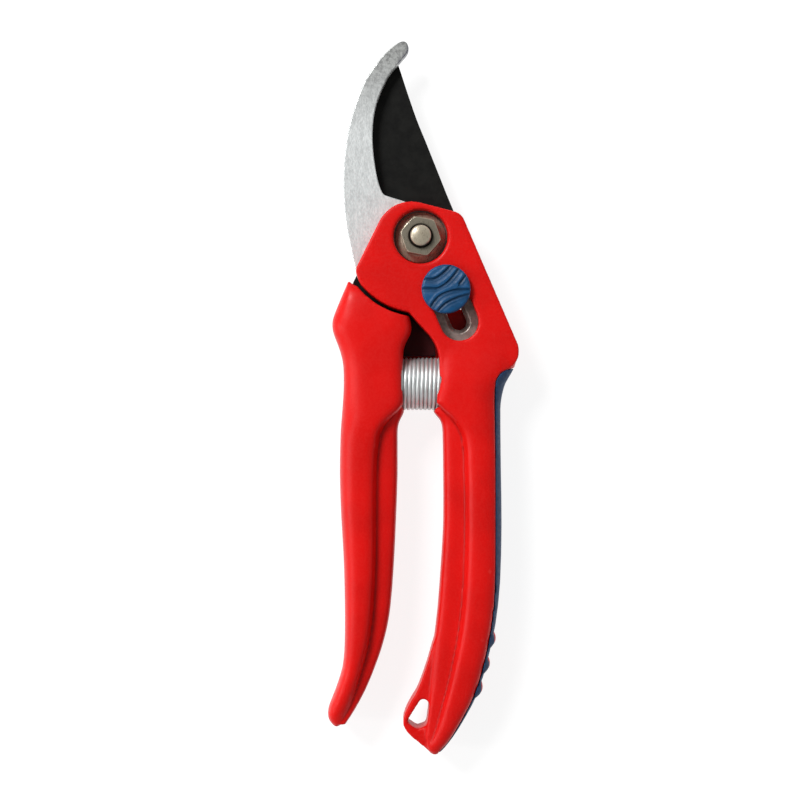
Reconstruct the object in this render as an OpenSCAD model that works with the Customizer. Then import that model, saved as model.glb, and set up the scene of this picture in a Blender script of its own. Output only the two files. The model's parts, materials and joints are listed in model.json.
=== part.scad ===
// Bypass pruning shears, lying flat and locked closed.
// Origin on the pivot axis at the face the shears rest on; +Y towards the blades, +Z up.

/* [Blades] */
// Distance from the pivot to the tip of the hook
hook_len = 55; // [42:0.5:70]
// Thickness of the hook plate
hook_t = 3.5; // [2.5:0.1:5]
// Thickness of the cutting blade
blade_t = 3.2; // [2.2:0.1:4]
// Width of the ground bevel along the cutting edge
bevel_w = 4; // [2:0.5:5]
// Thickness left at the cutting edge
edge_t = 0.25; // [0.15:0.05:0.6]

/* [Handles] */
// Distance from the pivot to the end of the upper handle
handle_len = 144; // [115:1:180]
// Thickness of the handles over their crowned grips
handle_t = 18; // [16:0.5:23]
// Thickness of the thinner inner flange of each handle
flange_t = 11; // [7:0.5:13]
// Thickness of the web around the hanging hole
loop_t = 8; // [4:0.5:11]
// Free width between the two spring seats when closed
seat_gap = 9.7; // [7:0.1:13]
// Height of the head's cover above the hook plate
cover_t = 5; // [4:0.1:7]
// Radius of the head where it faces the lower handle
head_r = 21.2; // [20.8:0.1:21.6]
// Width of the curved gap between the head and the lower handle
head_gap = 1.1; // [0.6:0.1:2]
// How far the ribs stand proud of the soft grip
rib_proud = 0.35; // [0.1:0.05:0.6]

/* [Pivot] */
// Diameter of the pivot bolt
bolt_d = 6; // [5:0.1:7.5]
// Height of the bolt's head
bolt_head_t = 4; // [3:0.1:5]
// Length of the bolt below its head
bolt_len = 16; // [14:0.5:22]
// Width across the flats of the nut and the bolt head
hex_af = 10; // [9.5:0.1:11]
// Diameter of the nut's flange
nut_flange_d = 14.2; // [12.5:0.1:14.4]
// Height of the nut
nut_t = 6; // [4:0.1:7]
// Diameter of the washer under the bolt head
washer_d = 12; // [10:0.1:13.4]
// Thickness of that washer
washer_t = 1; // [0.6:0.1:1.8]
// Diameter of the round recesses that hold the nut and the bolt head
recess_d = 15; // [14.8:0.1:16]
// Width of the chamfer around each recess
recess_chamfer = 0.5; // [0.2:0.1:0.8]

/* [Lock] */
// Diameter of the lock button
button_d = 13.5; // [11:0.1:16]
// Height of the button above the head's face
button_t = 2.4; // [1.5:0.1:4]
// Diameter of the steel lock pin
pin_d = 4; // [3:0.1:4.4]
// How far the lock slides
lock_travel = 9.6; // [7:0.1:11.5]
// Width of the pocket in the cover that shows the slotted plate
pocket_w = 10.7; // [10:0.1:12]
// Width of the chamfer around the slot
slot_chamfer = 1.1; // [0.3:0.1:1.4]

/* [Spring] */
// Outer diameter of the handle spring
spring_d = 14.8; // [11.5:0.1:15]
// Diameter of the spring wire
wire_d = 1.3; // [0.9:0.1:1.6]
// Depth of each spring seat
seat_depth = 4.4; // [3:0.1:5]
// Distance from the pivot to the spring's axis
spring_r = 40.8; // [40:0.1:43]

/* [Hidden] */
$fn = 64;

// Clearances
pivot_clear = 0.05;   // radial, blade on bolt
face_clear = 0.05;    // between the faces of the two blades
slide_clear = 0.15;   // lock pin in its slot, per side
loose = 0.3;          // between moulded parts that move past each other
tongue_t = 1.2;       // thickness of the cover's tongue above the spring
flange_edge = 1.1;    // height of the nut flange's rim
flange_rise = 1.4;    // height that its slope climbs
lock_play = 0.7;      // lock pin in its seat in the blade, per side
parting = 0.06;       // joint line between handle and soft grip
hair = 0.01;          // least step between walls that are nearly in line

// Way the nut and the bolt head are turned
hex_turn = 49;

// Levels, from the face the shears rest on
washer_z = bolt_head_t;
blade_z = washer_z + washer_t;
shear_z = blade_z + blade_t + face_clear;
plate_top = shear_z + hook_t;
cover_z = shear_z + loose;
face_z = plate_top + cover_t;
mid_z = handle_t / 2;
back_t = blade_z - loose / 3;

// Lock: it slides along a line that leans away from the pivot
lock_lean = 23;
lock_dir = [sin(lock_lean), -cos(lock_lean)];
lock_at = [7.0, -14.7];
lock_end = lock_at + lock_travel * lock_dir;
collar_d = pin_d + 2.4;
collar_t = 0.8;
wave_t = 0.9;

// Spring, tilted slightly as it lies between the handles
spring_tilt = -4;
seat_clear = 0.3;
spring_len = seat_gap + 2 * seat_depth - 0.2;
coil_r = (spring_d - wire_d) / 2;
shroud_r = 11.2;      // lower handle's cover around the bolt head
back_r = 21.5;        // radius that the lower handle's cover sweeps, with room
hub_clear_r = 15.2;   // the same for the blade's hub
back_edge = -50;      // direction of the joint between the two handles' back halves

// Lengths that the outlines below were laid out for, and how they stretch
drawn_hook = 55;
drawn_handle = 144;
hook_from = 14;
grip_from = -52;
function up(y) = y < hook_from ? y
    : hook_from + (y - hook_from) * (hook_len - hook_from) / (drawn_hook - hook_from);
function down(y) = y > grip_from ? y
    : grip_from + (y - grip_from) * (handle_len + grip_from) / (drawn_handle + grip_from);

// Smooth curve through points of any dimension, with n steps between neighbours
function blend(a, b, c, d, t) = b + t / 2 * ((c - a)
    + t * ((2 * a - 5 * b + 4 * c - d) + t * (3 * b - a - 3 * c + d)));
function curve(p, n = 4) = let (m = len(p) - 1) concat(
    [for (i = [0 : m - 1], k = [0 : n - 1])
        blend(p[max(i - 1, 0)], p[i], p[i + 1], p[min(i + 2, m)], k / n)],
    [p[m]]);

// Points of an arc about a centre
function arc(c, r, from, to, n = 12) =
    [for (k = [0 : n]) let (a = from + (to - from) * k / n) c + r * [cos(a), sin(a)]];

// Corner of a polygon rounded to radius r, between its neighbours a and b
function corner(a, p, b, r, n = 8) =
    let (u = (a - p) / norm(a - p), v = (b - p) / norm(b - p),
         half = acos(u * v) / 2,
         c = p + (u + v) / norm(u + v) * r / sin(half),
         s = p + u * r / tan(half) - c, e = p + v * r / tan(half) - c,
         a0 = atan2(s.y, s.x), turn = atan2(e.y, e.x) - a0,
         sweep = turn > 180 ? turn - 360 : turn < -180 ? turn + 360 : turn)
    [for (k = [0 : n]) c + r * [cos(a0 + sweep * k / n), sin(a0 + sweep * k / n)]];

// Rounds every corner of a closed outline given as [x, y, radius]
function rounded(p) = let (m = len(p))
    [for (i = [0 : m - 1])
        let (q = p[i], a = p[(i + m - 1) % m], b = p[(i + 1) % m])
        each q[2] == 0 ? [[q.x, q.y]]
            : corner([a.x, a.y], [q.x, q.y], [b.x, b.y], q[2])];

// Moulded bar along Y: each station is [y, inner x, outer x, half height, squareness
// towards -X, squareness towards +X]
module bar(stations, z = mid_z, sides = 24) {
    function power(v, e) = sign(v) * pow(abs(v), e);
    rows = len(stations);
    points = [for (s = stations, k = [0 : sides - 1])
        let (a = 360 * (k + 0.5) / sides, e = 2 / (cos(a) < 0 ? s[4] : s[5]))
        [(s[1] + s[2]) / 2 + (s[2] - s[1]) / 2 * power(cos(a), e), s[0],
         z + s[3] * power(sin(a), e)]];
    faces = concat(
        [[for (k = [0 : sides - 1]) k]],
        [for (i = [0 : rows - 2], k = [0 : sides - 1])
            let (a = i * sides + k, b = i * sides + (k + 1) % sides)
            each [[a, a + sides, b + sides], [a, b + sides, b]]],
        [[for (k = [sides - 1 : -1 : 0]) (rows - 1) * sides + k]]);
    polyhedron(points, faces);
}

module slab(z0, z1, outline) {
    translate([0, 0, z0]) linear_extrude(z1 - z0) polygon(outline);
}

module disc(d, z0, z1) {
    translate([0, 0, z0]) cylinder(d = d, h = z1 - z0);
}

// Stadium that the lock sweeps, at diameter d; its straight sides lie a hair inside the
// round ends' tangents, so that they cross and don't just graze
module lock_track(d, z0, z1) {
    side = d - 2 * hair;
    translate([0, 0, z0]) linear_extrude(z1 - z0) union() {
        translate(lock_at) circle(d = d);
        translate(lock_end) circle(d = d);
        translate(lock_at) rotate(lock_lean) translate([-side / 2, -lock_travel])
            square([side, lock_travel]);
    }
}

// Chamfer of width w around the front edge of the lock's slot, its flanks a hair inside
// the cones' tangents
module slot_countersink(d, w) {
    flank = d / 2 - hair;
    for (end = [lock_at, lock_end]) translate([end.x, end.y, plate_top - w])
        cylinder(d1 = d, d2 = d + 4 * w, h = 2 * w);
    translate([lock_at.x, lock_at.y, plate_top - w]) rotate([90, 0, lock_lean])
        linear_extrude(lock_travel)
            polygon([[-flank, 0], [flank, 0], [flank + 2 * w, 2 * w], [-flank - 2 * w, 2 * w]]);
}

// Round recess of the nut or the bolt head, from the level floor_z out past the face at rim_z
module recess(floor_z, rim_z) {
    out = sign(rim_z - floor_z);
    disc(recess_d, min(floor_z, rim_z + out), max(floor_z, rim_z + out));
    translate([0, 0, rim_z - out * recess_chamfer]) mirror([0, 0, out > 0 ? 0 : 1])
        cylinder(d1 = recess_d - 2 * hair, d2 = recess_d + 4 * recess_chamfer,
            h = 2 * recess_chamfer);
}

// Cylinder along the spring's axis, centred between the seats
module along_spring(d, length) {
    translate([0, -spring_r, mid_z]) rotate([0, 0, spring_tilt]) rotate([0, 90, 0])
        cylinder(d = d, h = length, center = true);
}

// Both spring seats, each a ring-shaped pocket around a peg
module spring_seats() {
    difference() {
        along_spring(spring_d + 2 * seat_clear, seat_gap + 2 * seat_depth);
        along_spring(spring_d - 2 * wire_d - 1.6, 3 * seat_gap);
    }
    along_spring(spring_d + 2 * seat_clear, seat_gap + 1.2);
}

// ---- outlines ----
seat_x = seat_gap / 2;

// Upper handle: grip lobe, from inside the head to its end
upper_lobe = [for (s = [
    [-19.5, seat_x - 1.0, 21.4, 6.2, 8, 6],
    [-25.5, seat_x - 1.0, 23.1, 7.0, 8, 6],
    [-30,   seat_x - 0.1, 25.5, 7.8, 8, 6],
    [-34,   seat_x + 0.4, 26.8, 8.3, 8, 5],
    [-37.4, seat_x + 0.3, 25.7, 8.7, 8, 4],
    [-41,   seat_x + 0.1, 23.7, 9,   8, 3],
    [-46,   seat_x - 0.6, 22.6, 9,   8, 2.8],
    [-50,   seat_x + 3.4, 22.5, 9,   6, 2.7],
    [-55,   seat_x + 6.6, 22.5, 9,   5, 2.6],
    [-64,   seat_x + 7.4, 22.6, 9,   5, 2.6],
    [-80,   seat_x + 7.6, 22.8, 9,   5, 2.6],
    [-96,   seat_x + 7.2, 22.4, 9,   5, 2.6],
    [-108,  seat_x + 6.1, 21.1, 9,   5, 2.6],
    [-118,  seat_x + 4.4, 18.9, 8.8, 6.5, 2.6],
    [-127,  seat_x + 2.3, 16.2, 8.4, 6.5, 2.6],
    [-134,  seat_x + 0.1, 12.6, 7.9, 4, 2.6],
    [-139,  seat_x - 1.5,  9.5, 7.2, 4, 2.6],
    [-142.3, seat_x - 3.0, 7.0, 6.2, 3, 2.6],
    [-144,  seat_x - 2.2,  5.4, 4.8, 2, 2]])
    [down(s[0]), s[1], s[2], s[3] * handle_t / 18, s[4], s[5]]];

// Upper handle: inner flange beside the lobe
upper_flange = [for (s = [
    [-46,   seat_x - 0.7, 16],
    [-48.6, seat_x - 1.2, 16],
    [-51,   seat_x + 0.8, 16],
    [-54,   seat_x + 1.4, 16],
    [-66,   seat_x + 1.6, 16],
    [-80,   seat_x + 1.6, 16],
    [-92,   seat_x + 0.9, 16],
    [-104,  seat_x + 0.0, 15],
    [-113,  seat_x - 1.1, 14],
    [-122,  seat_x - 2.0, 12],
    [-131,  seat_x - 2.8,  9],
    [-139,  seat_x - 3.6,  6],
    [-143,  seat_x - 2.6,  4.6]])
    [down(s[0]), s[1], s[2], flange_t / 2, 5, 5]];

// Web that carries the hanging hole
loop_web = [for (p = curve([
    [5.5, -108], [3.6, -113], [1.85, -119], [-0.7, -126], [-2.9, -129.8],
    [-4.4, -133], [-4.8, -136], [-3.0, -138.7], [-0.4, -140.9], [2.4, -143.1],
    [4.2, -143.4], [6, -140], [8, -130], [9, -112]])) [p.x, down(p.y)]];
hole_at = down(-135);
hang_hole = rounded([[0.2, hole_at + 6.4, 0.6], [2.5, hole_at + 5.7, 0.9],
                     [1.7, hole_at - 1.2, 1.2], [-0.9, hole_at - 2.1, 1.0],
                     [-3.9, hole_at - 0.1, 0.9]]);

// Where the red handle meets the soft grip, and the region outside that line
grip_line = curve([[27.5, -36.2], [23.6, -37.0], [21.3, -38.9], [20.5, -43],
    for (p = [[20.6, -56], [20.7, -78], [20.5, -98], [19.4, -109], [17.4, -119],
        [14.8, -127.3], [10.9, -135], [7.4, -140.8], [5.0, -143.2]]) [p.x, down(p.y)]], 3);
function grip_region(gap) = concat([for (p = grip_line) [p.x + gap, p.y - gap / 2]],
    [[5, down(-146)], [40, down(-146)], [40, -36.2 - gap / 2]]);

// Ribs that show through the grip near its end: [y, x of the outer edge]
ribs = [[down(-111.8), 20.3], [down(-118.8), 18.7], [down(-125.4), 16.7]];
rib_r = 2.9;

// Lower handle: grip lobe
lower_lobe = [for (s = [
    [-12.3, -20.2, -19.7, 5.6, 3, 6],
    [-13.4, -20.7, -18.4, 6.4, 3, 6],
    [-14.8, -21.3, -14.0, 7.6, 4, 8],
    [-17.8, -22.6, -8.5,  8.5, 4, 8],
    [-20.5, -23.7, -4.3,  8.8, 4, 8],
    [-23.5, -24.7, -2.7,  9,   4, 8],
    [-26.5, -24.4, -2.6,  9,   4, 8],
    [-30.5, -22.9, -seat_x + 0.3, 9, 3.5, 8],
    [-35,   -21.7, -seat_x,       9, 3.2, 8],
    [-41,   -21.5, -seat_x,       9, 3,   8],
    [-46.5, -21.8, -seat_x + 0.1, 9, 2.8, 8],
    [-50.5, -22.1, -seat_x - 3.6, 9, 2.6, 6],
    [-55,   -22.4, -seat_x - 6.4, 9, 2.6, 5],
    [-66,   -22.6, -seat_x - 7.4, 9, 2.6, 5],
    [-78,   -22.2, -seat_x - 7.5, 9, 2.6, 5],
    [-90,   -21.5, -seat_x - 7.6, 9, 2.6, 5],
    [-102,  -21.2, -seat_x - 8.2, 9, 2.6, 5],
    [-112,  -21.2, -seat_x - 9.4, 9, 2.6, 5],
    [-120,  -21.8, -seat_x - 11.3, 8.6, 2.6, 4],
    [-127,  -24.0, -seat_x - 13.4, 7.9, 2.6, 4],
    [-132,  -25.9, -seat_x - 15.0, 7.0, 2.6, 3],
    [-134.8, -25.6, -seat_x - 16.4, 5.8, 2.6, 3],
    [-136.3, -24.2, -seat_x - 17.6, 4.4, 2, 2]])
    [down(s[0]), s[1], s[2], s[3] * handle_t / 18, s[4], s[5]]];

// Lower handle: inner flange beside the lobe
lower_flange = [for (s = [
    [-46,   -16, -seat_x + 0.1],
    [-48.8, -16, -seat_x + 0.3],
    [-51,   -16, -seat_x - 0.9],
    [-54,   -16, -seat_x - 1.5],
    [-66,   -16, -seat_x - 1.5],
    [-80,   -16, -seat_x - 2.0],
    [-92,   -16, -seat_x - 2.6],
    [-104,  -16, -seat_x - 3.6],
    [-112,  -17, -seat_x - 5.2],
    [-119,  -18, -seat_x - 7.5],
    [-126,  -19, -seat_x - 10.4],
    [-132,  -22, -seat_x - 13.6],
    [-135.6, -23.5, -seat_x - 16.0]])
    [down(s[0]), s[1], s[2], flange_t / 2, 5, 5]];

// Head cover, seen from the front
head_outline = concat(
    corner([-18.2, -9.4], [-7.9, 11.4], [11.3, 6.4], 10, 12),
    corner([-7.9, 11.4], [11.3, 6.4], [29, -34.6], 3.6),
    corner([11.3, 6.4], [29, -34.6], [20, -38.6], 5.5),
    [[20, -38.6], [seat_x + 0.3, -38.6]],
    curve([[seat_x + 0.35, -33.8], [seat_x - 0.3, -31], [2.9, -27.9], [-0.3, -24.4],
           head_r * [cos(261), sin(261)]]),
    arc([0, 0], head_r, 257, 217, 16),
    corner(head_r * [cos(217), sin(217)], [-18.2, -9.4], [-7.9, 11.4], 2, 5));

// Hook plate: hook, hub, and the tang moulded into the upper handle
hook_outline = concat(
    [for (p = concat(
        curve([[-4.9, 10.4], [-8.8, 11.6], [-10.7, 12.8], [-12.3, 18], [-13.4, 27.5],
               [-12.6, 36.5], [-9.4, 44.6], [-6.2, 48.7], [-3.7, 51.7], [-3.35, 53.4],
               [-4.3, 54.9], [-6.5, 54.4], [-10.2, 51.3], [-13.3, 47.2], [-16.1, 42.6], [-20, 31],
               [-21.5, 17.6], [-20.9, 4.7], [-18.6, -7], [-17.7, -10.2]]))) [p.x, up(p.y)]],
    arc([0, 0], head_r - 1.2, 212, 256, 12),
    [[0, -22], [6.4, -27.5], [10.6, -33], [10.6, -52], [17, -52], [18.6, -38], [23, -30],
     [22, -22.5], [13.9, -3.5], [10.3, 4.6], [6.9, 6.9], [0, 8.4]]);

// Cutting blade: hub and tang; the blade itself is lofted below
blade_hub_r = 10.5;
tang_outline = concat(
    arc([0, 0], blade_hub_r, -80, -2, 12),
    [[10.6, 3], [10, 6], [9.3, 8.2], [7.46, 12.6], [-14.3, 12.6], [-14.2, 6], [-14.6, -3.5],
     [-18.9, -12.2], [-19.2, -24], [-17.6, -50], [-10.9, -50], [-10.9, -33],
     [-seat_x - 1, -32.9], [seat_x - 0.5, -32.9], [seat_x - 0.8, -30], [seat_x - 1.6, -25.5],
     [2, -22.8], [4.4, -18], [4, -13.5]]);
// Stations of the cutting blade: [y, x of the cutting edge, x of the back]
blade_stations = [for (s = curve([
    [12.5, -14.2, 7.5], [20.3, -15.2, 4.4], [27.2, -15.5, 1.65], [33.7, -14.8, -1.0],
    [41.5, -12.4, -3.7], [46.5, -9.6, -5.3], [49.4, -7.2, -6.3]], 3)) [up(s[0]), s[1], s[2]]];

// Room behind the plate for the lower handle's cover and the turning blade
back_room = concat(
    [[60, 60], [60, 4], [hub_clear_r, 4]],
    arc([0, 0], hub_clear_r, 8, back_edge, 10),
    arc([0, 0], back_r, back_edge, -90, 8),
    [[-60, -back_r], [-60, 60]]);

// Cover of the lower handle behind the blade, with the floor beside the spring
back_outline = concat(
    arc([0, 0], shroud_r, 200, back_edge + 8, 26),
    arc([0, 0], back_r - 0.4, back_edge - 3, -83, 9),
    [[seat_x - 1.4, -25.5], [seat_x - 0.65, -30], [seat_x - 0.2, -33.5], [seat_x - 0.2, -36],
     [-seat_x - 4, -36], [-20, -30], [-23.5, -24], [-20.4, -13.5]]);

// Tongue of that cover, under the upper handle's round edge above the spring
tongue_outline = [[seat_x - 1.6, -26], [seat_x + 0.3, -27], [seat_x + 1.1, -30],
    [seat_x + 1.3, -33.5], [seat_x - 1, -33.5]];

// ---- sub-parts ----
module hook_solid() {
    slab(shear_z, plate_top, hook_outline);
}

module hook_blade() {
    color([0.78, 0.79, 0.79]) difference() {
        hook_solid();
        disc(bolt_d + 2 * 0.02, shear_z - 1, plate_top + 1);
        lock_track(pin_d + 2 * slide_clear, shear_z - 1, plate_top + 1);
        lock_track(collar_d + 2 * slide_clear, shear_z - 1, shear_z + collar_t + 0.3);
        slot_countersink(pin_d + 2 * slide_clear - 2 * hair, slot_chamfer + hair);
    }
}

// Loft of the blade: flat towards the hook, ground on the other side
module blade_loft() {
    rows = len(blade_stations);
    points = [for (s = blade_stations)
        let (w = min(bevel_w, (s[2] - s[1]) * 0.8))
        each [[s[1], s[0], blade_z + blade_t], [s[2], s[0], blade_z + blade_t],
              [s[2], s[0], blade_z], [s[1] + w, s[0], blade_z],
              [s[1], s[0], blade_z + blade_t - edge_t]]];
    faces = concat([[for (k = [0 : 4]) k]],
        [for (i = [0 : rows - 2], k = [0 : 4])
            let (a = i * 5 + k, b = i * 5 + (k + 1) % 5)
            each [[a, a + 5, b + 5], [a, b + 5, b]]],
        [[for (k = [4 : -1 : 0]) (rows - 1) * 5 + k]]);
    polyhedron(points, faces);
}

module tang_solid() {
    slab(blade_z, blade_z + blade_t, tang_outline);
}

module cutting_blade() {
    color([0.12, 0.12, 0.11]) difference() {
        union() {
            blade_loft();
            tang_solid();
        }
        disc(bolt_d + 2 * pivot_clear, 0, shear_z + 1);
        // seat of the lock pin, open on the side the pin passes as the blade turns
        lock_track(pin_d + 2 * lock_play, 0, shear_z + 1);
    }
}

// Upright rib with round ends
module rib(at, proud, length) {
    straight = length / 2 - rib_r;
    translate([at[1] + proud - rib_r, at[0], mid_z]) rotate_extrude()
        polygon(concat([[0, -length / 2]], [for (a = [-75 : 15 : 0]) rib_r * [cos(a), sin(a)]
            - [0, straight]], [for (a = [0 : 15 : 75]) rib_r * [cos(a), sin(a)]
            + [0, straight]], [[0, length / 2]]));
}

module upper_lobe_solid() {
    bar(curve(upper_lobe, 2));
}

module upper_handle() {
    color([0.86, 0.12, 0.11]) difference() {
        union() {
            slab(cover_z, face_z, head_outline);
            difference() {
                upper_lobe_solid();
                slab(-5, handle_t + 5, grip_region(0));
            }
            bar(curve(upper_flange, 2), sides = 16);
            slab(mid_z - loop_t / 2, mid_z + loop_t / 2, loop_web);
            intersection() {
                union() for (r = ribs) rib(r, 0.5 + rib_proud, 11);
                slab(-5, handle_t + 5, grip_region(-0.5));
            }
        }
        slab(-5, handle_t + 5, hang_hole);
        // room for the lower handle's head and the blade behind the plate
        slab(-5, cover_z, back_room);
        hook_solid();
        recess(plate_top - 1, face_z);
        lock_track(pocket_w, plate_top - 1, face_z + 5);
        lock_track(pin_d + 2 * lock_play, blade_z - 1, shear_z + 1);
        spring_seats();
    }
}

module grip_pad() {
    color([0.23, 0.31, 0.42]) difference() {
        intersection() {
            union() {
                upper_lobe_solid();
                for (r = ribs) rib(r, 0.5, 15);
            }
            slab(-5, handle_t + 5, grip_region(parting));
        }
        for (r = ribs) rib([r[0], r[1] + parting], 0.5 + rib_proud, 11 + 2 * parting);
    }
}

module lower_handle() {
    color([0.86, 0.12, 0.11]) difference() {
        union() {
            bar(curve(lower_lobe, 2));
            bar(curve(lower_flange, 2), sides = 16);
            slab(0, back_t, back_outline);
            slab(0, tongue_t, tongue_outline);
        }
        // curved gap to the head, and the passage that the tang leaves by
        disc(2 * (head_r + head_gap), blade_z - loose / 3, handle_t + 5);
        tang_solid();
        recess(blade_z + 1, 0);
        spring_seats();
    }
}

module pivot_bolt() {
    color([0.55, 0.51, 0.44]) union() {
        intersection() {
            rotate(hex_turn) cylinder(d = hex_af / cos(30), h = bolt_head_t, $fn = 6);
            translate([0, 0, -hex_af]) cylinder(r1 = 0, r2 = hex_af * 2.1, h = hex_af * 2.4);
        }
        disc(bolt_d, bolt_head_t, bolt_head_t + bolt_len - 0.7);
        translate([0, 0, bolt_head_t + bolt_len - 0.7])
            cylinder(d1 = bolt_d, d2 = bolt_d - 1, h = 0.7);
    }
}

module pivot_washer() {
    color([0.6, 0.58, 0.53]) difference() {
        disc(washer_d, washer_z, washer_z + washer_t);
        disc(bolt_d + 2 * pivot_clear, washer_z - 1, washer_z + washer_t + 1);
    }
}

// Flanged hexagon nut
module pivot_nut() {
    color([0.47, 0.43, 0.36]) translate([0, 0, plate_top]) difference() {
        union() {
            cylinder(d = nut_flange_d, h = flange_edge);
            translate([0, 0, flange_edge])
                cylinder(d1 = nut_flange_d, d2 = hex_af + 0.6, h = flange_rise);
            intersection() {
                rotate(hex_turn) cylinder(d = hex_af / cos(30), h = nut_t, $fn = 6);
                cylinder(r1 = hex_af * 0.5 + nut_t + 0.35, r2 = hex_af * 0.5 + 0.35, h = nut_t);
            }
        }
        translate([0, 0, -1]) cylinder(d = bolt_d + 2 * 0.02, h = nut_t + 2);
        translate([0, 0, nut_t - 0.5]) cylinder(d1 = bolt_d, d2 = bolt_d + 1.4, h = 0.7);
    }
}

stem_z = plate_top + wave_t;
module lock_button() {
    color([0.1, 0.3, 0.47]) translate([lock_at.x, lock_at.y, 0]) difference() {
        union() {
            disc(pocket_w - 1, stem_z, face_z + 0.15);
            disc(button_d, face_z + 0.1, face_z + button_t - 0.5);
            translate([0, 0, face_z + button_t - 0.5])
                cylinder(d1 = button_d, d2 = button_d - 1.2, h = 0.5);
        }
        disc(pin_d, stem_z - 1, face_z + 1);
    }
}

module lock_pin() {
    color([0.7, 0.7, 0.7]) translate([lock_at.x, lock_at.y, 0])
        disc(pin_d, blade_z + 0.5, face_z + 1);
}

// Collar behind the plate that keeps the pin in its slot
module lock_collar() {
    color([0.6, 0.6, 0.6]) translate([lock_at.x, lock_at.y, 0]) difference() {
        disc(collar_d, shear_z + 0.15, shear_z + 0.15 + collar_t);
        disc(pin_d, 0, plate_top);
    }
}

// Dished washer that keeps the button from sliding by itself
module lock_wave_washer() {
    color([0.6, 0.6, 0.6]) translate([lock_at.x, lock_at.y, plate_top]) difference() {
        cylinder(d1 = pocket_w - 1.2, d2 = pocket_w - 3.2, h = wave_t);
        translate([0, 0, -0.3]) cylinder(d1 = pocket_w - 1.2, d2 = pocket_w - 3.2, h = wave_t);
        translate([0, 0, -1]) cylinder(d = pin_d + 0.6, h = 3);
    }
}

module handle_spring() {
    turns = floor((spring_len - wire_d) / (wire_d + 0.06) * 2) / 2;
    steps = 20;
    sides = 8;
    rows = turns * steps + 1;
    pitch = (spring_len - wire_d) / turns;
    points = [for (i = [0 : rows - 1], k = [0 : sides - 1])
        let (a = 360 * i / steps, b = 360 * k / sides, r = coil_r + wire_d / 2 * cos(b))
        [(i / steps) * pitch - (spring_len - wire_d) / 2 + wire_d / 2 * sin(b),
         r * cos(a), r * sin(a)]];
    faces = concat(
        [[for (k = [0 : sides - 1]) k]],
        [for (i = [0 : rows - 2], k = [0 : sides - 1])
            let (a = i * sides + k, b = i * sides + (k + 1) % sides)
            each [[a, a + sides, b + sides], [a, b + sides, b]]],
        [[for (k = [sides - 1 : -1 : 0]) (rows - 1) * sides + k]]);
    color([0.75, 0.76, 0.77]) translate([0, -spring_r, mid_z]) rotate([0, 0, spring_tilt])
        polyhedron(points, faces);
}

hook_blade();
cutting_blade();
upper_handle();
grip_pad();
lower_handle();
pivot_bolt();
pivot_washer();
pivot_nut();
lock_button();
lock_pin();
lock_collar();
lock_wave_washer();
handle_spring();
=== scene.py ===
"""Bypass pruning shears: the visible model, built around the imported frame.

Lengths are metres in the frame of the model. The origin is on the pivot axis at the face the
shears rest on, +Y points to the blades and +Z up, away from that face.
"""
import json
import math

import bmesh
import bpy
import numpy as np
from bpy.props import FloatProperty, FloatVectorProperty, PointerProperty
from mathutils import Matrix, Vector
from mathutils.kdtree import KDTree


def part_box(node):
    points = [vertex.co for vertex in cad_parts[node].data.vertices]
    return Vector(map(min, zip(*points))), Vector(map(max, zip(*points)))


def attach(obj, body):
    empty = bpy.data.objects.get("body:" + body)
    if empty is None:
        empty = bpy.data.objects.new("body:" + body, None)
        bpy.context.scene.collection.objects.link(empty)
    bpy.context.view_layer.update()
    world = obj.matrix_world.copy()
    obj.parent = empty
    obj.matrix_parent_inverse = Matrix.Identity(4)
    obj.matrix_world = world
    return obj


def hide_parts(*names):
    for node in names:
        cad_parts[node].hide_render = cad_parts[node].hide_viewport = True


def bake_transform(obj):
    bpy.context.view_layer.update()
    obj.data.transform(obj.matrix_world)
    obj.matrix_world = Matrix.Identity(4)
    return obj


bl_info = {
    "name": "Pruning shears",
    "version": (1, 0, 0),
    "blender": (4, 5, 0),
    "location": "3D View > Sidebar > Shears",
    "description": "Builds the visible pieces of a pair of pruning shears round their frame",
    "category": "Object",
}

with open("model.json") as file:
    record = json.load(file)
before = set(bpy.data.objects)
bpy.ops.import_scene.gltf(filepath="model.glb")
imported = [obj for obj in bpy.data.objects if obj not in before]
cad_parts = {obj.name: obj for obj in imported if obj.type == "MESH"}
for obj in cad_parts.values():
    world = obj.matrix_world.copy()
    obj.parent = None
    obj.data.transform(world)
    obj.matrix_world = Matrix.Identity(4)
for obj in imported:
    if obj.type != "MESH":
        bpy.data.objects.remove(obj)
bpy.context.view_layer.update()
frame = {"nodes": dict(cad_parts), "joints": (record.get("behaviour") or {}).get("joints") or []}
NODES = frame["nodes"]
MM = 0.001

BOLT_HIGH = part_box("pivot_bolt")[1]
NUT_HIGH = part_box("pivot_nut")[1]
BUTTON_LOW, BUTTON_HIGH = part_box("lock_button")
PIN_LOW, PIN_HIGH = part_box("lock_pin")
SPRING_LOW, SPRING_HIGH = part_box("handle_spring")
HOOK_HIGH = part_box("hook_blade")[1]
HANDLE_LOW, HANDLE_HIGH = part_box("lower_handle")
# Level of the head's face beside the pivot
HEAD_FACE = max(v.co.z for v in NODES["upper_handle"].data.vertices
                if math.hypot(v.co.x, v.co.y) < 10 * MM)
# How far and which way the lock slides
SLIDE = next(Vector(j["axis"]) * j["range_m"][1] for j in frame["joints"]
             if j["name"] == "lock_slide")


# The camera looks straight down
CAMERA_LENS = 71.9
CAMERA_PLACE = Vector((-5.7, -45.3, 458.25)) * MM


# ---- meshes ----
def add_object(name, mesh):
    obj = bpy.data.objects.new(name, mesh)
    bpy.context.scene.collection.objects.link(obj)
    return obj


def merged_bmesh(node):
    """The node's mesh as one skin, its doubles merged and its degenerate edges and faces removed."""
    bm = bmesh.new()
    bm.from_mesh(NODES[node].data)
    bmesh.ops.remove_doubles(bm, verts=bm.verts, dist=1e-6)
    bmesh.ops.dissolve_degenerate(bm, edges=bm.edges, dist=2e-6)
    return bm


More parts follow.
